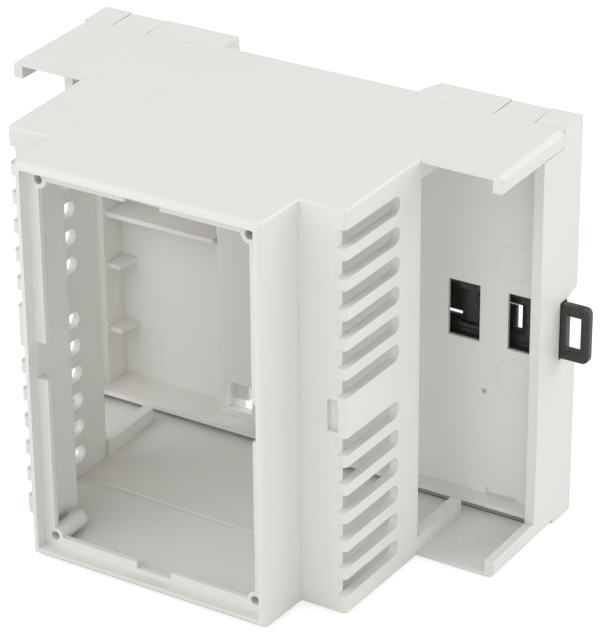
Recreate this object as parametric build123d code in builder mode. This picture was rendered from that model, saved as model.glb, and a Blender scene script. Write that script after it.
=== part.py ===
from build123d import *
import os

# A light grey DIN rail enclosure, four modules wide, with a black sprung rail clip.
# X runs across the rail, Y runs from the open front (-Y) to the rail (+Y), and Z runs along the rail.
# The origin is the middle of the rail seat. Depths are measured back from the front rim, insets are
# measured forward from the back of the body.

# Overall sizes
body_length = 90.0
body_height = 70.4
body_depth = 58.0

# Widths of the two steps of the housing at their backs
nose_width = 45.0
shoulder_width = 62.2

# Mould draft: how much each half is narrower at the front of a form than at its back
height_draft = 0.5
nose_draft = 0.4
shoulder_draft = 0.5

# Walls of the housing: the end walls get thinner behind a small step inside
end_wall = 1.35
thin_end_wall = 1.0
thin_wall_depth = 21.7
side_wall = 1.45
nose_wall = 1.2

# Steps of the housing's outline
ledge_depth = 10.2
wing_depth = 31.7
lip_thickness = 1.7
lip_height = 3.1

# Roundings of the housing
nose_corner_radius = 1.0
shoulder_corner_radius = 0.8
soft_edge_radius = 0.4
lip_top_radius = 1.0
lip_lower_radius = 0.2

# Seat of the front panel
panel_rebate = 2.1
seat_flange_thickness = 1.0
seat_flange_width = 1.9
seat_gap_length = 6.4
seat_notch_depth = 1.2
boss_radius = 1.5
boss_length = 6.8
panel_screw_radius = 0.75
panel_screw_depth = 5.8

# Louvres
louvre_pitch = 5.0
louvre_height = 3.0
louvre_end_depth = 25.6
louvre_margin = 2.5

# Latch pocket beside each shoulder corner
latch_pocket_width = 1.85
latch_pocket_height = 5.4
latch_pocket_depth = 0.8

# Ribs on the end walls behind the louvred walls
rib_thickness = 2.0
rib_height = 2.6
rib_end_inset = 12.4

# Snap fingers at the back of the end walls
finger_middle = 36.1
finger_width = 6.9
finger_root_inset = 6.15
catch_height = 0.9
catch_tip_height = 0.2
catch_length = 1.4
catch_play = 0.2
latch_bar_margin = 0.5

# Clearances between the housing and the base, and the help lengths of the cuts and joins
joint_gap = 0.15
seam_gap = 0.03
overlap = 0.1
clear = 1.0

# Rail channel
seat_inset = 4.5
channel_width = 36.6
rail_flange_thickness = 1.0
channel_wall = 1.6
lead_in = 1.6
seat_relief_depth = 0.3
seat_relief_margin = 0.5
hook_reach = 2.6
hook_length = 4.7
hook_thickness = 2.0
hook_play = 0.4
hook_end_inset = 4.5
core_hole_width = 5.4
core_hole_length = 5.4
core_hole_end_inset = 4.0

# Plates and walls of the base
left_plate_thickness = 1.8
right_plate_thickness = 1.6
web_thickness = 1.9
left_plate_inset = 2.5
right_plate_inset = 7.4
base_wall_front_inset = 12.7
base_skin_front_inset = 8.0
base_skin_thickness = 1.7
patch_rise = 0.2
corner_radius = 1.0

# Shelves of the base inside the end walls
shelf_front_inset = 10.2
shelf_thickness = 0.86
shelf_gap = 1.06

# Board guides on the left wall, heights measured from the middle
guide_reach = 4.5
guide_width = 2.4
guide_flare = 0.7
guide_thickness = 0.9
guide_tops = (-21.3, -8.9)
board_shelf_top = 0.8
upper_recess_depth = 1.0
upper_recess_height = 7.0

# Windows of the right plate
inner_window_edge = 25.75
inner_window_width = 5.75
outer_window_edge = 36.6
outer_window_width = 4.6
window_height = 10.05
window_middle = 0.45
vent_hole_radius = 0.45
vent_hole_x = 32.55
vent_hole_z = -13.3
core_slot_height = 1.1
core_slot_gap = 0.05
core_slot_width = 5.8

# Rail clip: fit in the base
clip_width = 10.4
clip_neck_width = 9.75
clip_slip = 0.2
clip_travel = 2.4
window_skin = 0.6
clip_rail_gap = 0.15
clip_neck_thickness = 2.25
guide_rail_thickness = 1.6
guide_lip_reach = 1.4
guide_lip_thickness = 1.3
guide_lip_start = 27.8
notch_flare = 0.8

# Rail clip: nose, loop and tray
clip_body_start = 21.3
nose_start = 16.4
nose_end = 22.3
nose_thickness = 2.15
nose_step = 0.6
nose_ramp = 1.5
loop_end = 50.0
loop_thickness = 1.7
loop_corner_radius = 1.1
loop_edge_radius = 0.35
loop_hole_start = 45.9
loop_hole_width = 2.75
loop_hole_height = 6.3
tray_rim = 0.6
tray_depth = 1.4
clip_web_thickness = 0.8
pocket_low = -3.2
pocket_high = 2.7

# Rail clip: moulded spring and detent
spring_pocket_start = 23.6
spring_pocket_end = 33.4
spring_start = 29.8
spring_strip = 0.9
spring_gap = 0.3
slit_start = 23.7
slit_end = 26.6
slit_low = -2.6
slit_high = -1.7
slit_ledge_top = -2.95
slit_ledge_reach = 0.85
detent_pocket_start = 34.6
detent_pocket_end = 38.6
detent_slot_start = 36.4
detent_slot_width = 1.1
detent_slot_low = -2.4
detent_slot_high = 2.1
detent_arm_length = 1.9
detent_arm_gap = 0.5
detent_ramp_rise = 1.1

# Derived sizes across the rail
half_length = body_length / 2
nose_half = nose_width / 2
nose_front_half = nose_half - nose_draft
shoulder_half = shoulder_width / 2
shoulder_front_half = shoulder_half - shoulder_draft
channel_half = channel_width / 2
channel_outer = channel_half + channel_wall
lip_inner = half_length - lip_thickness
skin_inner = lip_inner - base_skin_thickness
finger_inner = finger_middle - finger_width / 2
finger_outer = finger_middle + finger_width / 2
clip_half = clip_width / 2
clip_neck_half = clip_neck_width / 2
clip_body_end = lip_inner - clip_slip - clip_travel
right_wall_outer = clip_body_start - clip_slip
seat_relief_width = hook_reach + seat_relief_margin

# Derived depths
seat_depth = body_depth - seat_inset
web_depth = seat_depth - web_thickness
left_plate_depth = body_depth - left_plate_inset
left_plate_back = left_plate_depth + left_plate_thickness
right_plate_depth = body_depth - right_plate_inset
right_plate_back = right_plate_depth + right_plate_thickness
base_wall_front_depth = body_depth - base_wall_front_inset
base_skin_front_depth = body_depth - base_skin_front_inset
shelf_front_depth = body_depth - shelf_front_inset
guide_front_depth = left_plate_depth - guide_reach
rib_end_depth = body_depth - rib_end_inset
finger_root_depth = body_depth - finger_root_inset
patch_start_depth = finger_root_depth + seam_gap
catch_step_depth = body_depth - catch_length - catch_play
latch_bar_back = catch_step_depth - catch_play
clip_front_depth = right_plate_depth + window_skin + clip_slip
clip_back_depth = seat_depth + rail_flange_thickness + clip_rail_gap
clip_neck_front_depth = clip_back_depth - clip_neck_thickness
tray_floor_depth = clip_front_depth + tray_depth
web_front_depth = clip_back_depth - clip_web_thickness

# Derived half heights along the rail
half_height = body_height / 2
inner_half_height = half_height - thin_end_wall
base_half_height = inner_half_height - joint_gap
lip_edge = half_height - lip_height
skin_half_height = lip_edge - seam_gap
shelf_low = inner_half_height - shelf_gap
shelf_high = shelf_low - shelf_thickness
patch_half_height = half_height + patch_rise
catch_edge = inner_half_height - catch_height


def end_height(depth):
    """Half of the height over the end walls at a depth; it grows towards the back for the mould's draft."""
    return half_height - height_draft * (1 - depth / body_depth)


def shoulder_face(depth):
    """Half of the width over the louvred walls at a depth; the ribs behind them carry the line on."""
    return shoulder_front_half + shoulder_draft * (depth - ledge_depth) / (wing_depth - ledge_depth)


def patch_top(depth):
    """Half of the height over the base's patches: flush with the housing in front and proud at the back."""
    share = (depth - patch_start_depth) / (body_depth - patch_start_depth)
    flush = end_height(patch_start_depth)
    return flush + (patch_half_height - flush) * share


def louvre_rows():
    """Heights of the louvres: as many as fit on both sides of the middle, with a gap in the middle."""
    each_way = int((end_height(0) - louvre_height / 2 - louvre_margin) / louvre_pitch)
    return [k * louvre_pitch for k in range(-each_way, each_way + 1) if k != 0]


def at(depth):
    """Y of a depth behind the front rim."""
    return depth - seat_depth


def block(x_low, x_high, depth_low, depth_high, z_low, z_high, mode=Mode.ADD):
    """A square block between two corners, added to or cut from the part in hand."""
    centre = ((x_low + x_high) / 2, (at(depth_low) + at(depth_high)) / 2, (z_low + z_high) / 2)
    with Locations(centre):
        Box(x_high - x_low, depth_high - depth_low, z_high - z_low, mode=mode)


def upright_edges(part, x_size, depth):
    """Edges along Z at a distance from the middle and at a depth."""
    def fits(edge):
        middle = edge.center()
        return abs(abs(middle.X) - x_size) < 0.01 and abs(middle.Y - at(depth)) < 0.01
    return part.edges().filter_by(Axis.Z).filter_by(fits)


def side_edges(part, x_size, depth_low, depth_high, z_size, reach=0.6):
    """Long edges that run back along the side of a step, near a distance from the middle and a height."""
    def fits(edge):
        middle = edge.center()
        return (abs(abs(middle.X) - x_size) < reach and abs(abs(middle.Z) - z_size) < reach
                and at(depth_low) < middle.Y < at(depth_high) and abs(edge.tangent_at(0.5).Y) > 0.9)
    return part.edges().filter_by(fits)


# Hollow of the housing, open at the front and at the back, and the wings' space between the end walls
with BuildPart() as hollow:
    with BuildSketch(Plane.XY.offset(-half_height)):
        with BuildLine():
            Polyline(
                (0, at(-clear)),
                (nose_front_half - nose_wall, at(-clear)),
                (nose_half - nose_wall, at(ledge_depth + side_wall)),
                (shoulder_front_half - side_wall, at(ledge_depth + side_wall)),
                (shoulder_half - side_wall, at(wing_depth)),
                (shoulder_half, at(wing_depth)),
                (shoulder_half, at(wing_depth - clear)),
                (lip_inner, at(wing_depth - clear)),
                (lip_inner, at(body_depth + clear)),
                (0, at(body_depth + clear)),
            )
            mirror(about=Plane.YZ)
        make_face()
    extrude(amount=body_height)
    with BuildSketch(Plane.YZ.offset(-half_length)):
        with BuildLine():
            Polyline(
                (at(-clear), 0),
                (at(-clear), end_height(-clear) - end_wall),
                (at(thin_wall_depth), end_height(thin_wall_depth) - end_wall),
                (at(thin_wall_depth), inner_half_height),
                (at(body_depth + clear), inner_half_height),
                (at(body_depth + clear), 0),
            )
            mirror(about=Plane.XZ)
        make_face()
    extrude(amount=body_length, mode=Mode.INTERSECT)

# Housing: hood with T-shaped end walls
with BuildPart() as housing:
    # Outer form: nose, shoulders, wings and snap fingers in one outline, drawn along the rail
    with BuildSketch(Plane.XY.offset(-half_height)):
        with BuildLine():
            Polyline(
                (0, at(0)),
                (nose_front_half, at(0)),
                (nose_half, at(ledge_depth)),
                (shoulder_front_half, at(ledge_depth)),
                (shoulder_half, at(wing_depth)),
                (half_length, at(wing_depth)),
                (half_length, at(finger_root_depth)),
                (finger_outer, at(finger_root_depth)),
                (finger_outer, at(body_depth)),
                (finger_inner, at(body_depth)),
                (finger_inner, at(finger_root_depth)),
                (channel_half, at(finger_root_depth)),
                (channel_half, at(seat_depth)),
                (0, at(seat_depth)),
            )
            mirror(about=Plane.YZ)
        make_face()
    extrude(amount=body_height)
    with BuildSketch(Plane.YZ.offset(-half_length)):
        with BuildLine():
            Polyline(
                (at(-clear), 0),
                (at(-clear), end_height(-clear)),
                (at(body_depth), half_height),
                (at(body_depth), 0),
            )
            mirror(about=Plane.XZ)
        make_face()
    extrude(amount=body_length, mode=Mode.INTERSECT)
    fillet(side_edges(housing, nose_half, 1, ledge_depth, half_height), soft_edge_radius)
    fillet(upright_edges(housing, nose_front_half, 0), nose_corner_radius)
    fillet(upright_edges(housing, shoulder_front_half, ledge_depth), shoulder_corner_radius)
    fillet(side_edges(housing, shoulder_half, ledge_depth + 1, wing_depth, half_height), soft_edge_radius)
    fillet(side_edges(housing, half_length, wing_depth, finger_root_depth, half_height), lip_top_radius)
    add(hollow.part, mode=Mode.SUBTRACT)

    # Wings: open at the side between the lips of the two end walls
    for side in (-1, 1):
        inner, outer = sorted((side * (lip_inner - clear), side * (half_length + clear)))
        block(inner, outer, wing_depth - clear, body_depth + clear, -lip_edge, lip_edge, Mode.SUBTRACT)
    fillet(side_edges(housing, half_length, wing_depth, finger_root_depth, lip_edge, 0.1), lip_lower_radius)

    # Ribs that carry the line of the louvred walls on to the base
    for end in (-1, 1):
        with BuildSketch(Plane.XY.offset(end * (inner_half_height + overlap))):
            with BuildLine():
                Polyline(
                    (shoulder_face(wing_depth), at(wing_depth)),
                    (shoulder_face(rib_end_depth), at(rib_end_depth)),
                    (shoulder_face(rib_end_depth) - rib_thickness, at(rib_end_depth)),
                    (shoulder_face(wing_depth) - rib_thickness, at(wing_depth)),
                    close=True,
                )
            make_face()
            mirror(about=Plane.YZ)
        extrude(amount=-end * (rib_height + overlap))

    # Flange that the front panel sits on, with a boss in each corner
    rim_half = nose_front_half - nose_wall
    rim_half_height = end_height(panel_rebate) - end_wall
    boss_x = rim_half - seat_flange_width
    boss_z = rim_half_height - seat_flange_width
    with BuildSketch(Plane.XZ.offset(-at(panel_rebate + seat_flange_thickness))):
        Rectangle(2 * rim_half + nose_wall, 2 * rim_half_height + end_wall)
        Rectangle(2 * boss_x, 2 * boss_z, mode=Mode.SUBTRACT)
        Rectangle(seat_gap_length, 2 * (boss_z + seat_notch_depth), mode=Mode.SUBTRACT)
        Rectangle(2 * rim_half, seat_gap_length, mode=Mode.SUBTRACT)
    extrude(amount=seat_flange_thickness)
    with BuildSketch(Plane.XZ.offset(-at(panel_rebate + boss_length))):
        with GridLocations(2 * boss_x, 2 * boss_z, 2, 2):
            Circle(boss_radius)
    extrude(amount=boss_length)
    with BuildSketch(Plane.XZ.offset(-at(panel_rebate + panel_screw_depth))):
        with GridLocations(2 * boss_x, 2 * boss_z, 2, 2):
            Circle(panel_screw_radius)
    extrude(amount=panel_screw_depth + clear, mode=Mode.SUBTRACT)

    # Louvres: slots that wrap from the ledge round the shoulder and end in a half round
    slot_start = ledge_depth - louvre_height
    slot_length = louvre_end_depth - slot_start
    for side in (-1, 1):
        with BuildSketch(Plane.YZ.offset(side * (shoulder_front_half - side_wall))):
            with Locations(*[(at(slot_start + slot_length / 2), row) for row in louvre_rows()]):
                SlotOverall(slot_length, louvre_height)
        extrude(amount=side * (side_wall + clear), mode=Mode.SUBTRACT)

    # Latch pockets in the ledges, in the gap of the louvres
    for side in (-1, 1):
        pocket_edge = side * (shoulder_front_half - side_wall)
        low, high = sorted((pocket_edge, pocket_edge - side * latch_pocket_width))
        block(low, high, ledge_depth - clear, ledge_depth + latch_pocket_depth,
              -latch_pocket_height / 2, latch_pocket_height / 2, Mode.SUBTRACT)

    # Catches inside the tips of the snap fingers: a ramp at the tip and a square step in front
    for side in (-1, 1):
        with BuildSketch(Plane.YZ.offset(side * finger_middle - finger_width / 2)):
            with BuildLine():
                Polyline(
                    (at(catch_step_depth), inner_half_height + overlap),
                    (at(catch_step_depth), catch_edge),
                    (at(body_depth), inner_half_height - catch_tip_height),
                    (at(body_depth), inner_half_height + overlap),
                    close=True,
                )
            make_face()
            mirror(about=Plane.XZ)
        extrude(amount=finger_width)

# Base: back moulding with the rail channel
with BuildPart() as base:
    # Cross-section along the rail: left plate, web of the rail channel and right plate
    with BuildSketch(Plane.XY.offset(-base_half_height)):
        with BuildLine():
            Polyline(
                (-lip_inner, at(base_skin_front_depth)),
                (-skin_inner, at(base_skin_front_depth)),
                (-skin_inner, at(left_plate_depth)),
                (-channel_outer, at(left_plate_depth)),
                (-channel_outer, at(web_depth)),
                (channel_outer, at(web_depth)),
                (channel_outer, at(right_plate_depth)),
                (skin_inner, at(right_plate_depth)),
                (skin_inner, at(base_skin_front_depth)),
                (lip_inner, at(base_skin_front_depth)),
                (lip_inner, at(right_plate_back)),
                (right_wall_outer, at(right_plate_back)),
                (right_wall_outer, at(body_depth)),
                (channel_half + lead_in, at(body_depth)),
                (channel_half, at(seat_depth + rail_flange_thickness)),
                (channel_half, at(seat_depth)),
                (-channel_half, at(seat_depth)),
                (-channel_half, at(body_depth)),
                (-channel_outer, at(body_depth)),
                (-channel_outer, at(left_plate_back)),
                (-lip_inner, at(left_plate_back)),
                close=True,
            )
        make_face()
    extrude(amount=2 * base_half_height)
    fillet(upright_edges(base, channel_outer, web_depth).filter_by(lambda e: e.center().X < 0), corner_radius)

    # Outer skins: low between the housing's lips, full height behind them
    for side in (-1, 1):
        with BuildSketch(Plane.YZ.offset(side * lip_inner)):
            with BuildLine():
                Polyline(
                    (at(base_wall_front_depth), 0),
                    (at(base_wall_front_depth), skin_half_height),
                    (at(patch_start_depth), skin_half_height),
                    (at(patch_start_depth), patch_half_height),
                    (at(body_depth), patch_half_height),
                    (at(body_depth), 0),
                )
                mirror(about=Plane.XZ)
            make_face()
        extrude(amount=side * lip_thickness)

    # Patches behind the housing's end walls, parted by the snap fingers
    for end in (-1, 1):
        with BuildSketch(Plane.XY.offset(end * shelf_low)):
            with BuildLine():
                Polyline(
                    (channel_half, at(patch_start_depth)),
                    (finger_inner - joint_gap, at(patch_start_depth)),
                    (finger_inner - joint_gap, at(body_depth)),
                    (channel_half + lead_in, at(body_depth)),
                    (channel_half, at(seat_depth + rail_flange_thickness)),
                    close=True,
                )
            make_face()
            with BuildLine():
                Polyline(
                    (-channel_half, at(patch_start_depth)),
                    (-channel_half, at(body_depth)),
                    (-finger_inner + joint_gap, at(body_depth)),
                    (-finger_inner + joint_gap, at(patch_start_depth)),
                    close=True,
                )
            make_face()
            for side in (-1, 1):
                patch_width = half_length - finger_outer - joint_gap
                patch_x = side * (half_length - patch_width / 2)
                with Locations((patch_x, at((patch_start_depth + body_depth) / 2))):
                    Rectangle(patch_width, body_depth - patch_start_depth)
        extrude(amount=end * (patch_half_height - shelf_low))

    # The patches start flush with the housing and rise a little towards the back
    with BuildSketch(Plane.YZ.offset(-half_length - clear)):
        with BuildLine():
            Polyline(
                (at(patch_start_depth - clear), patch_top(patch_start_depth - clear)),
                (at(body_depth + clear), patch_top(body_depth + clear)),
                (at(body_depth + clear), patch_half_height + clear),
                (at(patch_start_depth - clear), patch_half_height + clear),
                close=True,
            )
        make_face()
        mirror(about=Plane.XZ)
    extrude(amount=body_length + 2 * clear, mode=Mode.SUBTRACT)

    # Shelves that reach forward inside the housing's end walls
    for end in (-1, 1):
        with BuildSketch(Plane.XY.offset(end * shelf_high)):
            with BuildLine():
                Polyline(
                    (-lip_inner + joint_gap, at(shelf_front_depth)),
                    (lip_inner - joint_gap, at(shelf_front_depth)),
                    (lip_inner - joint_gap, at(right_plate_depth + overlap)),
                    (channel_half, at(right_plate_depth + overlap)),
                    (channel_half, at(web_depth + overlap)),
                    (-channel_half, at(web_depth + overlap)),
                    (-channel_half, at(left_plate_depth + overlap)),
                    (-lip_inner + joint_gap, at(left_plate_depth + overlap)),
                    close=True,
                )
            make_face()
        extrude(amount=end * shelf_thickness)

    # Latch bars under the snap fingers, which the catches grip from behind, and the catches' recesses
    for end in (-1, 1):
        for side in (-1, 1):
            low, high = sorted((end * shelf_high, end * base_half_height))
            bar_middle = side * finger_middle
            bar_half = finger_width / 2 + latch_bar_margin
            block(bar_middle - bar_half, bar_middle + bar_half,
                  finger_root_depth, latch_bar_back, low, high)
        low, high = sorted((end * (catch_edge - joint_gap), end * (base_half_height + clear)))
        block(-finger_outer - joint_gap, -finger_inner + joint_gap, latch_bar_back, body_depth + clear,
              low, high, Mode.SUBTRACT)

    # Board guides and the board shelf on the left
    for top in guide_tops:
        with BuildSketch(Plane.XY.offset(top - guide_thickness)):
            with BuildLine():
                Polyline(
                    (-lip_inner + overlap, at(guide_front_depth)),
                    (-skin_inner + guide_width, at(guide_front_depth)),
                    (-skin_inner + guide_width + guide_flare, at(left_plate_depth + overlap)),
                    (-lip_inner + overlap, at(left_plate_depth + overlap)),
                    close=True,
                )
            make_face()
        extrude(amount=guide_thickness)
    block(-skin_inner - overlap, -channel_outer, guide_front_depth, left_plate_depth + overlap,
          board_shelf_top - guide_thickness, board_shelf_top)

    # Clip guides behind the right plate
    guide_half = clip_half + clip_slip
    lip_front = clip_back_depth + clip_slip
    lip_back = lip_front + guide_lip_thickness
    for end in (-1, 1):
        low, high = sorted((end * guide_half, end * (guide_half + guide_rail_thickness)))
        block(right_wall_outer - overlap, lip_inner + overlap,
              right_plate_back - overlap, lip_back, low, high)
        low, high = sorted((end * (guide_half - guide_lip_reach), end * (guide_half + overlap)))
        block(guide_lip_start, lip_inner, lip_front, lip_back, low, high)

    # Clip's channel: the plate is thinner there, and the channel wall and the right skin are open
    block(channel_half - clear, right_wall_outer + overlap, seat_depth, body_depth + clear,
          -guide_half, guide_half, Mode.SUBTRACT)
    block(right_wall_outer - overlap, lip_inner, right_plate_depth + window_skin, right_plate_back + overlap,
          -guide_half, guide_half, Mode.SUBTRACT)
    opening_half = clip_neck_half + clip_slip
    with BuildSketch(Plane.YZ.offset(lip_inner - overlap)):
        with BuildLine():
            Polyline(
                (at(clip_neck_front_depth - clip_slip), 0),
                (at(clip_neck_front_depth - clip_slip), opening_half),
                (at(clip_back_depth), opening_half),
                (at(body_depth + overlap), opening_half + notch_flare),
                (at(body_depth + overlap), 0),
            )
            mirror(about=Plane.XZ)
        make_face()
    extrude(amount=lip_thickness + clear, mode=Mode.SUBTRACT)

    # Windows over the clip, the small vent hole and the core slots over the shelves
    for edge, width in ((inner_window_edge, inner_window_width), (outer_window_edge, outer_window_width)):
        block(edge, edge + width, right_plate_depth - clear, right_plate_back + overlap,
              window_middle - window_height / 2, window_middle + window_height / 2, Mode.SUBTRACT)
    with BuildSketch(Plane.XZ.offset(-at(right_plate_back + overlap))):
        with Locations((vent_hole_x, vent_hole_z)):
            Circle(vent_hole_radius)
    extrude(amount=right_plate_thickness + clear, mode=Mode.SUBTRACT)
    slot_edge = shelf_high - core_slot_gap
    for end in (-1, 1):
        low, high = sorted((end * slot_edge, end * (slot_edge - core_slot_height)))
        block(finger_middle - core_slot_width / 2, finger_middle + core_slot_width / 2,
              right_plate_depth - clear, right_plate_back + overlap, low, high, Mode.SUBTRACT)

    # Part of the left plate is set back above the board shelf
    block(-skin_inner, -channel_outer, left_plate_depth - overlap, left_plate_depth + upper_recess_depth,
          board_shelf_top, board_shelf_top + upper_recess_height, Mode.SUBTRACT)

    # Relief grooves beside the rail seat, for the edges of the rail
    for side in (-1, 1):
        low_x, high_x = sorted((side * channel_half, side * (channel_half - seat_relief_width)))
        block(low_x, high_x, seat_depth - seat_relief_depth, seat_depth + overlap,
              -half_height - clear, half_height + clear, Mode.SUBTRACT)

    # Fixed rail hooks and the core holes in front of them
    hook_front = seat_depth + rail_flange_thickness + hook_play
    for end in (-1, 1):
        hook_edge = half_height - hook_end_inset
        low, high = sorted((end * hook_edge, end * (hook_edge - hook_length)))
        block(-channel_half - overlap, -channel_half + hook_reach,
              hook_front, hook_front + hook_thickness, low, high)
        hole_edge = half_height - core_hole_end_inset
        low, high = sorted((end * hole_edge, end * (hole_edge - core_hole_length)))
        block(-channel_half, -channel_half + core_hole_width, web_depth - clear, seat_depth + overlap,
              low, high, Mode.SUBTRACT)

# Rail clip: slider with a moulded spring, a detent arm and a pull loop
with BuildPart() as rail_clip:
    # Neck and pull loop
    block(clip_body_end - overlap, half_length, clip_neck_front_depth, clip_back_depth,
          -clip_neck_half, clip_neck_half)
    loop_back_depth = clip_neck_front_depth + loop_thickness
    with BuildSketch(Plane.XZ.offset(-at(loop_back_depth))):
        with Locations(((half_length + loop_end) / 2, 0)):
            Rectangle(loop_end - half_length, clip_neck_width)
    extrude(amount=loop_thickness)
    loop_corners = rail_clip.edges().filter_by(Axis.Y)
    loop_corners = loop_corners.filter_by(lambda e: abs(e.center().X - loop_end) < 0.01)
    fillet(loop_corners, loop_corner_radius)

    # Body with its tray and the nose that reaches behind the rail's flange
    block(clip_body_start, clip_body_end, clip_front_depth, clip_back_depth, -clip_half, clip_half)
    nose_back_depth = clip_back_depth + nose_thickness
    with BuildSketch(Plane.XY.offset(-clip_half)):
        with BuildLine():
            Polyline(
                (nose_start, at(clip_back_depth)),
                (nose_start, at(clip_back_depth + nose_step)),
                (nose_start + nose_ramp, at(nose_back_depth)),
                (nose_end, at(nose_back_depth)),
                (nose_end, at(clip_back_depth - overlap)),
                (clip_body_start, at(clip_back_depth - overlap)),
                (clip_body_start, at(clip_back_depth)),
                close=True,
            )
        make_face()
    extrude(amount=clip_width)
    block(clip_body_start + tray_rim, clip_body_end - tray_rim, clip_front_depth - clear, tray_floor_depth,
          -clip_half + tray_rim, clip_half - tray_rim, Mode.SUBTRACT)

    # Spring pocket: a thin web with a slit at its left, then the meander spring
    block(spring_pocket_start, spring_pocket_end, tray_floor_depth - clear, web_front_depth,
          pocket_low, pocket_high, Mode.SUBTRACT)
    block(slit_start, slit_end, web_front_depth - clear, clip_back_depth + overlap,
          slit_low, slit_high, Mode.SUBTRACT)
    block(slit_start, slit_end, web_front_depth - slit_ledge_reach, web_front_depth + overlap,
          pocket_low - overlap, slit_ledge_top)
    block(spring_start, spring_pocket_end, web_front_depth - clear, clip_back_depth + clear,
          pocket_low, pocket_high, Mode.SUBTRACT)
    first_leg = spring_start + spring_strip
    strip_low = pocket_low + spring_gap
    strip_high = pocket_high - spring_gap
    block(spring_start - overlap, first_leg + overlap, tray_floor_depth, clip_back_depth,
          strip_high - spring_strip, strip_high)
    block(first_leg, first_leg + spring_strip, tray_floor_depth, clip_back_depth, strip_low, strip_high)
    block(first_leg, spring_pocket_end + overlap, tray_floor_depth, clip_back_depth,
          strip_low, strip_low + spring_strip)

    # Detent pocket: a thin web, an arm beside a slot, and a ramp below it
    block(detent_pocket_start, detent_pocket_end, tray_floor_depth - clear, web_front_depth,
          pocket_low, pocket_high, Mode.SUBTRACT)
    block(detent_slot_start, detent_slot_start + detent_slot_width, web_front_depth - clear,
          clip_back_depth + overlap, detent_slot_low, detent_slot_high, Mode.SUBTRACT)
    block(detent_slot_start - detent_arm_length, detent_slot_start + overlap, web_front_depth - clear,
          clip_back_depth + overlap, detent_slot_high - detent_arm_gap, detent_slot_high, Mode.SUBTRACT)
    with BuildSketch(Plane.YZ.offset(detent_pocket_start)):
        with BuildLine():
            Polyline(
                (at(tray_floor_depth), pocket_low),
                (at(web_front_depth + overlap), pocket_low),
                (at(web_front_depth + overlap), pocket_low + detent_ramp_rise),
                close=True,
            )
        make_face()
    extrude(amount=detent_pocket_end - detent_pocket_start)

    # Finger hole of the pull loop, and its soft outer edges
    block(loop_hole_start, loop_hole_start + loop_hole_width, clip_neck_front_depth - clear,
          loop_back_depth + clear, -loop_hole_height / 2, loop_hole_height / 2, Mode.SUBTRACT)
    outer_rim = rail_clip.edges().filter_by(
        lambda e: e.center().X > half_length + 0.5 and abs(e.tangent_at(0.5).Y) < 0.1
    )
    outer_rim = outer_rim.filter_by(
        lambda e: e.center().X > loop_hole_start + loop_hole_width + 0.2
        or abs(e.center().Z) > loop_hole_height / 2 + 0.2
    )
    fillet(outer_rim, loop_edge_radius)

os.makedirs("parts", exist_ok=True)
housing.part.label = "housing"
base.part.label = "base"
rail_clip.part.label = "rail_clip"
export_step(housing.part, "parts/housing.step")
export_step(base.part, "parts/base.step")
export_step(rail_clip.part, "parts/rail_clip.step")
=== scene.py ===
"""Looks of an open DIN rail enclosure.

The hood and the back are light grey mouldings, and the sprung rail clip is black.
"""

import logging
import math
from dataclasses import dataclass
from enum import Enum
from typing import Dict, List, Optional, Sequence, Tuple, Union

import bmesh
import bpy
from mathutils import Euler, Matrix, Vector

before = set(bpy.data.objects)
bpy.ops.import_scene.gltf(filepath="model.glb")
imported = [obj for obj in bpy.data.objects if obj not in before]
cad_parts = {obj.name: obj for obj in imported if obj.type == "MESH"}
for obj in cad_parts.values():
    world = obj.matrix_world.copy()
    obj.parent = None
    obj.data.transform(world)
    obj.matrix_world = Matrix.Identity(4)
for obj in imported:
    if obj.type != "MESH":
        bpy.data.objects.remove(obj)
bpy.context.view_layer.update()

LOG = logging.getLogger("din_rail_enclosure")

Triple = Tuple[float, float, float]
Pair = Tuple[float, float]
Socket = bpy.types.NodeSocket
Value = Union[Socket, float]

GREY: Triple = (0.792, 0.784, 0.752)
WARM_GREY: Triple = (0.782, 0.772, 0.735)
LIGHT_GREY_ROUGHNESS: Pair = (0.38, 0.46)
WHITE: Triple = (1.0, 1.0, 1.0)


class Face(Enum):
    """The two object axes that a moulding mark lies along."""

    END_WALL = "xy"
    BACK_PLATE = "xz"


class MarkForm(Enum):
    """What a round moulding mark looks like."""

    RING = "ring"
    DIMPLE = "dimple"


class PaintedTone(Enum):
    """Linear colour that a line of painted highlight or painted shade leans to."""

    LIGHT = (0.97, 0.96, 0.93)
    DARK = (0.03, 0.028, 0.025)


@dataclass(frozen=True)
class RoundMark:
    """A faint round mark of the mould: an ejector pin's ring, or a small dimple.

    Attributes:
        form: Ring or dimple.
        face: The plane that the mark lies in.
        centre: Its centre along the plane's two axes, in metres.
        radius: Its radius, in metres.
        depth: Where the marked face lies along the third axis, in metres.
        reach: How far from that depth the mark still shows, in metres.
        sink: Depth of the mark, in metres.
        groove: Half of the width of a ring's groove, in metres.
        flat: Share of a dimple's radius that is flat.
        fade: Where the mark has gone along the third axis, in reaches.
    """

    form: MarkForm
    face: Face
    centre: Pair
    radius: float
    depth: float
    reach: float = 0.0006
    sink: float = 0.00006
    groove: float = 0.00022
    flat: float = 0.4
    fade: float = 1.5


@dataclass(frozen=True)
class SinkLine:
    """A shallow dip on the outside of both end walls, over a rib behind it.

    Attributes:
        offset: Distance of the line from the middle plane, in metres.
        width: Half of the dip's width, in metres.
        span: Where the line starts and ends along Y, in metres.
        soft: Length of its soft ends, in metres.
        outside: The distances from the middle along Z between which it starts to show, in metres.
        sink: Depth of the dip, in metres.
    """

    offset: float
    width: float
    span: Pair
    soft: float = 0.001
    outside: Pair = (0.0343, 0.0345)
    sink: float = 0.00006


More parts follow.
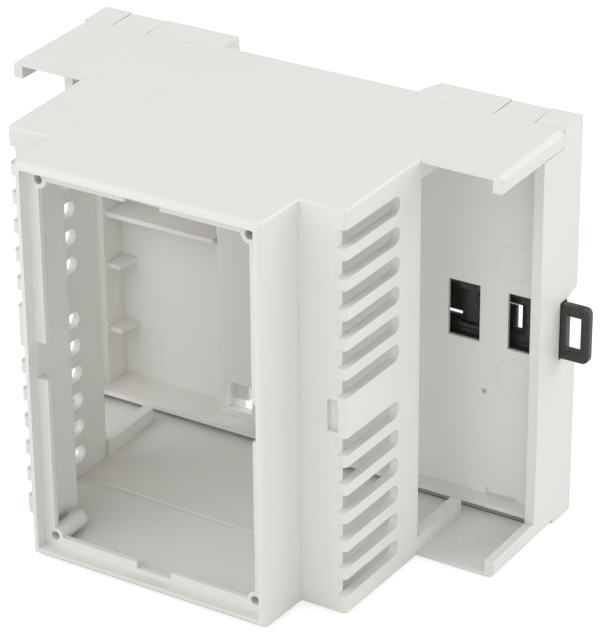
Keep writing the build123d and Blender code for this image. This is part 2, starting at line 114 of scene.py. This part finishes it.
@dataclass(frozen=True)
class PaintedLine:
    """A fine line across the inside of the lower end wall.

    It is a painted highlight across the wall, or painted shade along the joint at the foot of a
    back plate, where light does not reach.

    Attributes:
        tone: Painted highlight or painted shade.
        place: Where the line crosses the middle plane along Y, in metres.
        span: Where it starts and ends along X, in metres.
        soft: Length of its soft ends, in metres.
        slant: Rise of Y for each metre of X.
        below: The Z below which it shows, in metres.
        edge: Height over which it starts to show, in metres.
        width: Half of its width, in metres.
        core: Share of the width that has the full tone.
        share: Share of the tone in the middle of the line.
    """

    tone: PaintedTone
    place: float
    span: Pair
    soft: float = 0.0002
    slant: float = 0.0
    below: float = -0.0337
    edge: float = 0.0001
    width: float = 0.00018
    core: float = 0.6
    share: float = 0.95


class NodeDesk:
    """Lays out the nodes of one material."""

    def __init__(self, material: bpy.types.Material) -> None:
        """Start an empty node tree.

        Args:
            material: The material to work on.
        """
        material.use_nodes = True
        self.tree = material.node_tree
        self.tree.nodes.clear()
        self.output = self.tree.nodes.new("ShaderNodeOutputMaterial")
        self.coordinates = self.tree.nodes.new("ShaderNodeTexCoord").outputs["Object"]

    def node(self, kind: str, **settings: object) -> bpy.types.Node:
        """Add a node and set its properties.

        Args:
            kind: The node's type name.
            **settings: Properties of the node.

        Returns:
            The new node.
        """
        made = self.tree.nodes.new(kind)
        for name, value in settings.items():
            setattr(made, name, value)
        return made

    def link(self, source: Socket, target: Socket) -> None:
        """Join an output to an input."""
        self.tree.links.new(source, target)

    def maths(self, operation: str, first: Value, second: Optional[Value] = None) -> Socket:
        """Add a Math node.

        Args:
            operation: Name of the operation.
            first: A socket or a number.
            second: A socket or a number, where the operation takes two.

        Returns:
            The node's result.
        """
        made = self.node("ShaderNodeMath", operation=operation)
        for index, value in enumerate((first, second)):
            if value is None:
                continue
            if isinstance(value, Socket):
                self.link(value, made.inputs[index])
            else:
                made.inputs[index].default_value = value
        return made.outputs[0]

    def away(self, value: Socket, place: float) -> Socket:
        """Distance of a value from a place."""
        return self.maths("ABSOLUTE", self.maths("SUBTRACT", value, place))

    def total(self, values: Sequence[Socket]) -> Optional[Socket]:
        """Add several values up.

        Args:
            values: The values.

        Returns:
            Their sum, or None where there are none.
        """
        result = None
        for value in values:
            result = value if result is None else self.maths("ADD", result, value)
        return result

    def product(self, values: Sequence[Socket]) -> Socket:
        """Multiply several values.

        Args:
            values: The values, at least one.

        Returns:
            Their product.
        """
        result = values[0]
        for value in values[1:]:
            result = self.maths("MULTIPLY", result, value)
        return result

    def noise(self, scale: float, detail: float = 2.0, roughness: float = 0.5) -> Socket:
        """Add a noise value on object coordinates.

        Args:
            scale: Features per metre.
            detail: Octaves of detail.
            roughness: Share of each finer octave.

        Returns:
            The noise, about 0 to 1.
        """
        made = self.node("ShaderNodeTexNoise")
        made.inputs["Scale"].default_value = scale
        made.inputs["Detail"].default_value = detail
        made.inputs["Roughness"].default_value = roughness
        self.link(self.coordinates, made.inputs["Vector"])
        return made.outputs["Fac"]

    def axes(self) -> Dict[str, Socket]:
        """Split the object coordinates.

        Returns:
            The three coordinates by letter.
        """
        split = self.node("ShaderNodeSeparateXYZ")
        self.link(self.coordinates, split.inputs[0])
        return {"x": split.outputs[0], "y": split.outputs[1], "z": split.outputs[2]}

    def ramp(self, value: Socket, start: Pair, end: Pair) -> Socket:
        """Map a value smoothly from one range to another.

        Args:
            value: The value to map.
            start: Lowest and highest of the value.
            end: What they become.

        Returns:
            The mapped value.
        """
        made = self.node("ShaderNodeMapRange", interpolation_type="SMOOTHSTEP")
        self.link(value, made.inputs["Value"])
        for name, number in zip(("From Min", "From Max", "To Min", "To Max"), (*start, *end)):
            made.inputs[name].default_value = number
        return made.outputs["Result"]

    def between(self, value: Socket, span: Pair, soft: float) -> Socket:
        """Tell whether a value lies in a span.

        Args:
            value: The value.
            span: Start and end of the span.
            soft: Length of its soft ends.

        Returns:
            One inside the span and zero outside.
        """
        rise = self.ramp(value, (span[0] - soft, span[0] + soft), (0.0, 1.0))
        fall = self.ramp(value, (span[1] - soft, span[1] + soft), (1.0, 0.0))
        return self.maths("MULTIPLY", rise, fall)

    def blend(self, share: Socket, first: Union[Socket, Triple], second: Triple) -> Socket:
        """Mix two colours.

        Args:
            share: Share of the second colour.
            first: The first colour, or the socket that gives it.
            second: The second colour.

        Returns:
            The mixed colour.
        """
        mixer = self.node("ShaderNodeMix", data_type="RGBA", blend_type="MIX")
        ends = [socket for socket in mixer.inputs if socket.type == "RGBA"]
        self.link(share, mixer.inputs[0])
        if isinstance(first, Socket):
            self.link(first, ends[0])
        else:
            ends[0].default_value = (*first, 1.0)
        ends[1].default_value = (*second, 1.0)
        return next(socket for socket in mixer.outputs if socket.type == "RGBA")


@dataclass(frozen=True)
class MouldedPlastic:
    """A moulded thermoplastic surface.

    Attributes:
        name: Name of the finish.
        colour: Linear colour of the plastic.
        tint: Linear colour that the slow mottling leans to.
        mottle: Share of the tint at the mottling's strongest.
        roughness: Lowest and highest roughness.
        grain_scale: Spark grain features per metre.
        grain_depth: Depth of the grain, in metres.
        wave_scale: Flow waves per metre.
        wave_depth: Depth of the flow waves, in metres.
        edge_radius: Radius of the worn mould edges, in metres.
        marks: Round moulding marks on this piece.
        sink_lines: Sink lines on this piece.
        fine_lines: Lines of painted highlight and painted shade on this piece.
        index: Refractive index of the plastic.
        specular: Strength of the plain reflection.
        mottle_scale: Mottling features per metre.
        mottle_range: The noise values between which the tint rises.
        gloss_scale: Gloss features per metre.
        gloss_range: The noise values between which the roughness rises.
        grain_mix: Share of each finer octave of the grain.
        fine_octaves: Octaves of detail of the mottling, the gloss and the grain.
        edge_samples: Samples of the soft edges.
    """

    name: str
    colour: Triple
    tint: Triple
    mottle: float
    roughness: Pair
    grain_scale: float
    grain_depth: float
    wave_scale: float
    wave_depth: float
    edge_radius: float
    marks: Tuple[RoundMark, ...] = ()
    sink_lines: Tuple[SinkLine, ...] = ()
    fine_lines: Tuple[PaintedLine, ...] = ()
    index: float = 1.5
    specular: float = 0.5
    mottle_scale: float = 45.0
    mottle_range: Pair = (0.35, 0.65)
    gloss_scale: float = 260.0
    gloss_range: Pair = (0.3, 0.7)
    grain_mix: float = 0.6
    fine_octaves: float = 3.0
    edge_samples: int = 6

    def _mark_dips(self, desk: NodeDesk) -> List[Socket]:
        """Work out the round marks.

        Args:
            desk: The material's node desk.

        Returns:
            Depth of each mark over the surface.
        """
        axes = desk.axes()
        dips = []
        for mark in self.marks:
            across, along = (desk.maths("SUBTRACT", axes[letter], place)
                             for letter, place in zip(mark.face.value, mark.centre))
            squares = (desk.maths("MULTIPLY", across, across), desk.maths("MULTIPLY", along, along))
            distance = desk.maths("SQRT", desk.maths("ADD", *squares))
            if mark.form is MarkForm.RING:
                off_ring = desk.away(distance, mark.radius)
                dip = desk.ramp(off_ring, (0.0, mark.groove), (mark.sink, 0.0))
            else:
                dip = desk.ramp(distance, (mark.radius * mark.flat, mark.radius), (mark.sink, 0.0))
            third = axes[next(letter for letter in "xyz" if letter not in mark.face.value)]
            off_face = desk.away(third, mark.depth)
            near = desk.ramp(off_face, (mark.reach, mark.reach * mark.fade), (1.0, 0.0))
            dips.append(desk.maths("MULTIPLY", dip, near))
        return dips

    def _line_dips(self, desk: NodeDesk) -> List[Socket]:
        """Work out the sink lines.

        Args:
            desk: The material's node desk.

        Returns:
            Depth of each line over the surface.
        """
        axes = desk.axes()
        dips = []
        for line in self.sink_lines:
            off_line = desk.away(desk.maths("ABSOLUTE", axes["x"]), line.offset)
            dip = desk.ramp(off_line, (0.0, line.width), (line.sink, 0.0))
            outside = desk.ramp(desk.maths("ABSOLUTE", axes["z"]), line.outside, (0.0, 1.0))
            dips.append(desk.product((dip, outside, desk.between(axes["y"], line.span, line.soft))))
        return dips

    def _painted_tone_shares(self, desk: NodeDesk, tone: PaintedTone) -> List[Socket]:
        """Work out the lines of painted highlight or painted shade of one tone.

        Args:
            desk: The material's node desk.
            tone: Painted highlight or painted shade.

        Returns:
            Share of the tone along each line.
        """
        axes = desk.axes()
        lines = [line for line in self.fine_lines if line.tone is tone]
        shares = []
        for line in lines:
            rise = desk.maths("MULTIPLY", axes["x"], line.slant)
            off_line = desk.away(desk.maths("SUBTRACT", axes["y"], rise), line.place)
            share = desk.ramp(off_line, (line.width * line.core, line.width), (line.share, 0.0))
            low = desk.ramp(axes["z"], (line.below - line.edge, line.below), (1.0, 0.0))
            shares.append(desk.product((share, low, desk.between(axes["x"], line.span, line.soft))))
        return shares

    def _base_colour(self, desk: NodeDesk) -> Socket:
        """Mix the plastic's colour, its mottling and its lines of painted highlight and painted
        shade.

        Args:
            desk: The material's node desk.

        Returns:
            The colour over the surface.
        """
        slow = desk.noise(self.mottle_scale, self.fine_octaves)
        cloud = desk.ramp(slow, self.mottle_range, (0.0, self.mottle))
        result = desk.blend(cloud, self.colour, self.tint)
        # Blend in the lines of painted highlight and painted shade.
        for tone in PaintedTone:
            share = desk.total(self._painted_tone_shares(desk, tone))
            if share is not None:
                result = desk.blend(share, result, tone.value)
        return result

    def _height(self, desk: NodeDesk) -> Socket:
        """Add up the grain, the flow waves and the moulding marks.

        Args:
            desk: The material's node desk.

        Returns:
            Height of the surface, in metres.
        """
        fine = desk.noise(self.grain_scale, self.fine_octaves, self.grain_mix)
        grain = desk.maths("MULTIPLY", fine, self.grain_depth)
        waves = desk.maths("MULTIPLY", desk.noise(self.wave_scale), self.wave_depth)
        height = desk.maths("ADD", grain, waves)
        dips = desk.total(self._mark_dips(desk) + self._line_dips(desk))
        return height if dips is None else desk.maths("SUBTRACT", height, dips)

    def build(self) -> bpy.types.Material:
        """Make the material.

        Returns:
            The finished material.
        """
        material = bpy.data.materials.new(self.name)
        desk = NodeDesk(material)
        shader = desk.node("ShaderNodeBsdfPrincipled")
        shader.inputs["IOR"].default_value = self.index
        shader.inputs["Specular IOR Level"].default_value = self.specular
        desk.link(shader.outputs[0], desk.output.inputs["Surface"])
        desk.link(self._base_colour(desk), shader.inputs["Base Color"])
        patches = desk.noise(self.gloss_scale, self.fine_octaves)
        gloss = desk.ramp(patches, self.gloss_range, self.roughness)
        desk.link(gloss, shader.inputs["Roughness"])
        bump = desk.node("ShaderNodeBump")
        bump.inputs["Strength"].default_value = 1.0
        bump.inputs["Distance"].default_value = 1.0
        desk.link(self._height(desk), bump.inputs["Height"])
        edge = desk.node("ShaderNodeBevel", samples=self.edge_samples)
        edge.inputs["Radius"].default_value = self.edge_radius
        desk.link(edge.outputs["Normal"], bump.inputs["Normal"])
        desk.link(bump.outputs["Normal"], shader.inputs["Normal"])
        return material


@dataclass
class Hood:
    """The housing: the hood with the louvred shoulders and the snap fingers.

    Attributes:
        node: Name of the CAD node.
        slot: The record's material slot; not used.
        marks: Ejector rings on the lower wings, and dimples on the upper end wall.
        sink_lines: Sink lines over the ribs.
        fine_lines: A line of painted highlight across the wall, and lines of painted shade in the
            joints at the back plates.
    """

    node: str = "housing"
    slot: str = "housing_plastic"
    marks: Tuple[RoundMark, ...] = (
        RoundMark(MarkForm.RING, Face.END_WALL, (0.0363, -0.0143), 0.0021, -0.0342, 0.0008),
        RoundMark(MarkForm.RING, Face.END_WALL, (-0.0363, -0.0143), 0.0021, -0.0342, 0.0008),
        RoundMark(MarkForm.DIMPLE, Face.END_WALL, (0.0273, -0.0092), 0.0006, 0.0351, 0.0004),
        RoundMark(MarkForm.DIMPLE, Face.END_WALL, (-0.0273, -0.0092), 0.0006, 0.0351, 0.0004),
    )
    sink_lines: Tuple[SinkLine, ...] = (SinkLine(0.0302, 0.0013, (-0.0218, -0.0079)),)
    fine_lines: Tuple[PaintedLine, ...] = (
        # A painted highlight across the inside of the lower end wall.
        PaintedLine(PaintedTone.LIGHT, -0.0303, (-0.024, 0.0235), soft=0.003, slant=-0.030, below=-0.0335,
                 width=0.0004, core=0.0, share=0.85),
        # Painted shade along the joints at the foot of the back plates, where light does not reach.
        PaintedLine(PaintedTone.DARK, -0.0040, (-0.0437, -0.0105)),
        PaintedLine(PaintedTone.DARK, -0.0051, (0.0205, 0.0276)),
        PaintedLine(PaintedTone.DARK, -0.0051, (0.0292, 0.0434)),
    )

    def dress(self) -> None:
        """Give the hood its moulded finish."""
        finish = MouldedPlastic(
            name="hood_light_grey_plastic", colour=GREY, tint=WARM_GREY, mottle=0.5,
            roughness=LIGHT_GREY_ROUGHNESS, grain_scale=5200.0, grain_depth=0.0000022,
            wave_scale=90.0, wave_depth=0.000035, edge_radius=0.00014,
            marks=self.marks, sink_lines=self.sink_lines, fine_lines=self.fine_lines,
        )
        dress_node(self.node, finish.build())


@dataclass
class Back:
    """The base: the back moulding with the rail channel and the board guides.

    Attributes:
        node: Name of the CAD node.
        slot: The record's material slot; not used.
        marks: Ejector rings on the left and the right plate.
    """

    node: str = "base"
    slot: str = "base_plastic"
    marks: Tuple[RoundMark, ...] = (
        RoundMark(MarkForm.RING, Face.BACK_PLATE, (-0.0366, -0.0049), 0.0030, 0.002),
        RoundMark(MarkForm.RING, Face.BACK_PLATE, (-0.0366, -0.0266), 0.0030, 0.002),
        RoundMark(MarkForm.RING, Face.BACK_PLATE, (0.0376, 0.0108), 0.0032, -0.0029),
        RoundMark(MarkForm.RING, Face.BACK_PLATE, (0.0379, -0.0095), 0.0032, -0.0029),
    )

    def dress(self) -> None:
        """Give the back its moulded finish."""
        finish = MouldedPlastic(
            name="back_light_grey_plastic", colour=GREY, tint=WARM_GREY, mottle=0.6,
            roughness=LIGHT_GREY_ROUGHNESS, grain_scale=5200.0, grain_depth=0.0000022,
            wave_scale=80.0, wave_depth=0.000035, edge_radius=0.00014, marks=self.marks,
        )
        dress_node(self.node, finish.build())


@dataclass
class Slider:
    """The rail clip with its pull loop.

    Attributes:
        node: Name of the CAD node.
        slot: The record's material slot; not used.
    """

    node: str = "rail_clip"
    slot: str = "clip_plastic"

    def dress(self) -> None:
        """Give the clip its black moulded finish."""
        finish = MouldedPlastic(
            name="clip_black_plastic", colour=(0.031, 0.0280, 0.0245), tint=(0.042, 0.0375, 0.0325),
            mottle=0.8, roughness=(0.24, 0.34), grain_scale=4200.0, grain_depth=0.000003,
            wave_scale=160.0, wave_depth=0.00004, edge_radius=0.0008,
        )
        dress_node(self.node, finish.build())


def dress_node(node: str, material: bpy.types.Material) -> None:
    """Put a finish on a CAD node and report it.

    Args:
        node: Name of the CAD node.
        material: The finish.
    """
    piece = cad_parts[node]
    if not piece.material_slots:
        piece.data.materials.append(material)
    for held in piece.material_slots:
        held.link = "OBJECT"
        held.material = material
    LOG.info("dressed %s with %s", node, material.name)


@dataclass(frozen=True)
class Softbox:
    """A square softbox.

    Attributes:
        name: The lamp's name.
        place: Where it hangs, in metres.
        size: Its width, in metres.
        power: Its power, in watts.
    """

    name: str
    place: Triple
    size: float
    power: float

    def hang(self, target: Triple) -> None:
        """Hang the softbox so that it points at a target.

        Args:
            target: Where it points, in metres.
        """
        light = bpy.data.lights.new(self.name, "AREA")
        light.shape = "SQUARE"
        light.size = self.size
        light.energy = self.power
        lamp = bpy.data.objects.new(self.name, light)
        bpy.context.scene.collection.objects.link(lamp)
        lamp.location = self.place
        aim = Vector(target) - Vector(self.place)
        lamp.rotation_euler = aim.to_track_quat("-Z", "Y").to_euler()


@dataclass
class Studio:
    """Pale floor, white backdrop and soft lamps.

    Attributes:
        floor_height: Height of the floor, in metres.
        floor_size: Width of the floor, in metres.
        floor_pale: Grey of the floor that throws light back on the object.
        floor_shade: Grey of the floor where its shadow shows.
        floor_glow: White that the camera sees on the floor besides its shadow.
        sky: Strength of the soft light from all round.
        backdrop: Strength of the white that the camera sees behind the object.
        middle: What the lamps point at, in metres.
        lamps: The softboxes.
    """

    floor_height: float = -0.0355
    floor_size: float = 6.0
    floor_pale: float = 0.82
    floor_shade: float = 0.40
    floor_glow: float = 0.78
    sky: float = 0.385
    backdrop: float = 1.0
    middle: Triple = (0.0, -0.02, 0.0)
    lamps: Tuple[Softbox, ...] = (
        Softbox("top_front_softbox", (-0.10, -0.70, 0.75), 0.6, 2.4),
        Softbox("top_left_softbox", (-0.60, -0.45, 0.75), 0.6, 1.7),
        Softbox("top_back_softbox", (0.10, 0.50, 0.85), 0.6, 3.2),
        Softbox("front_left_softbox", (-0.65, -0.75, 0.25), 0.5, 1.45),
        Softbox("front_right_softbox", (0.70, -0.70, 0.12), 0.5, 1.15),
        Softbox("low_front_softbox", (0.15, -0.98, 0.02), 0.5, 1.0),
        Softbox("right_softbox", (0.98, -0.10, 0.12), 0.5, 1.25),
        Softbox("back_right_softbox", (0.75, 0.65, 0.30), 0.8, 3.6),
    )

    def build(self) -> None:
        """Make the floor, the lamps and the world."""
        self._floor()
        self._world()
        for lamp in self.lamps:
            lamp.hang(self.middle)
        LOG.info("studio built with %d softboxes", len(self.lamps))

    @staticmethod
    def _seen(tree: bpy.types.NodeTree) -> Socket:
        """Tell the rays that show the backdrop from those that light the object.

        Args:
            tree: The node tree to work in.

        Returns:
            One for rays from the camera and through clear pieces, and zero for others.
        """
        path = tree.nodes.new("ShaderNodeLightPath")
        wider = tree.nodes.new("ShaderNodeMath")
        wider.operation = "MAXIMUM"
        for index, name in enumerate(("Is Camera Ray", "Is Transmission Ray")):
            tree.links.new(path.outputs[name], wider.inputs[index])
        return wider.outputs[0]

    @staticmethod
    def _matt(desk: NodeDesk, grey: float) -> Socket:
        """Add a matt grey surface.

        Args:
            desk: The floor's node desk.
            grey: Its grey.

        Returns:
            The surface.
        """
        surface = desk.node("ShaderNodeBsdfDiffuse")
        surface.inputs["Color"].default_value = (grey, grey, grey, 1.0)
        return surface.outputs[0]

    def _floor_finish(self) -> bpy.types.Material:
        """Make the floor's finish: pale to the light, and white with its shadow to the camera.

        Returns:
            The finished material.
        """
        material = bpy.data.materials.new("studio_floor")
        desk = NodeDesk(material)
        glow = desk.node("ShaderNodeEmission")
        glow.inputs["Color"].default_value = (*WHITE, 1.0)
        glow.inputs["Strength"].default_value = self.floor_glow
        white = desk.node("ShaderNodeAddShader")
        desk.link(self._matt(desk, self.floor_shade), white.inputs[0])
        desk.link(glow.outputs[0], white.inputs[1])
        choice = desk.node("ShaderNodeMixShader")
        desk.link(self._seen(desk.tree), choice.inputs[0])
        desk.link(self._matt(desk, self.floor_pale), choice.inputs[1])
        desk.link(white.outputs[0], choice.inputs[2])
        desk.link(choice.outputs[0], desk.output.inputs["Surface"])
        return material

    def _floor(self) -> None:
        """Make a plain pale floor that shows white and keeps the shadow."""
        shape = bmesh.new()
        bmesh.ops.create_grid(shape, x_segments=1, y_segments=1, size=self.floor_size / 2)
        bmesh.ops.translate(shape, verts=shape.verts, vec=(0.0, 0.0, self.floor_height))
        mesh = bpy.data.meshes.new("studio_floor")
        shape.to_mesh(mesh)
        shape.free()
        floor = bpy.data.objects.new("studio_floor", mesh)
        bpy.context.scene.collection.objects.link(floor)
        floor.data.materials.append(self._floor_finish())

    def _world(self) -> None:
        """Put white behind the object, and an even soft light on it."""
        world = bpy.data.worlds.new("studio_world")
        bpy.context.scene.world = world
        world.use_nodes = True
        tree = world.node_tree
        tree.nodes.clear()
        output = tree.nodes.new("ShaderNodeOutputWorld")
        choice = tree.nodes.new("ShaderNodeMixShader")
        tree.links.new(self._seen(tree), choice.inputs[0])
        for index, strength in ((1, self.sky), (2, self.backdrop)):
            background = tree.nodes.new("ShaderNodeBackground")
            background.inputs["Color"].default_value = (*WHITE, 1.0)
            background.inputs["Strength"].default_value = strength
            tree.links.new(background.outputs[0], choice.inputs[index])
        tree.links.new(choice.outputs[0], output.inputs["Surface"])


@dataclass
class Viewpoint:
    """The camera, placed as the photograph was taken.

    Attributes:
        place: Where the camera stands, in metres.
        tilt: How far it looks up from the horizon, in radians.
        turn: How far it turns about the vertical, in radians.
        roll: How far it leans, in radians.
        lens: Focal length, in millimetres.
        sensor: Width of the sensor, in millimetres.
        near: The nearest that it sees, in metres.
        far: The furthest that it sees, in metres.
    """

    place: Triple = (0.2435854, -0.3993873, 0.2302635)
    tilt: float = -0.4741317
    turn: float = 0.5554057
    roll: float = 0.0087122
    lens: float = 177.96055
    sensor: float = 36.0
    near: float = 0.01
    far: float = 20.0

    def build(self) -> None:
        """Make the camera and set it for the scene."""
        camera = bpy.data.cameras.new("camera")
        camera.lens = self.lens
        camera.sensor_width = self.sensor
        camera.clip_start = self.near
        camera.clip_end = self.far
        holder = bpy.data.objects.new("camera", camera)
        bpy.context.scene.collection.objects.link(holder)
        turned = Euler((math.pi / 2 + self.tilt, 0.0, self.turn), "XYZ").to_matrix().to_4x4()
        lean = Matrix.Rotation(-self.roll, 4, "Z")
        holder.matrix_world = Matrix.Translation(Vector(self.place)) @ turned @ lean
        bpy.context.scene.camera = holder
        LOG.info("camera set")


def write_sizes() -> None:
    """Stand in for writing the sizes: it writes nothing."""
    LOG.info("sizes written")


def main() -> None:
    """Build the camera, dress the three pieces and light the studio."""
    logging.basicConfig(level=logging.INFO)
    bpy.context.scene.view_settings.view_transform = "Standard"
    Viewpoint().build()
    for piece in (Hood(), Back(), Slider()):
        piece.dress()
    Studio().build()
    write_sizes()


if __name__ == "__main__":
    main()
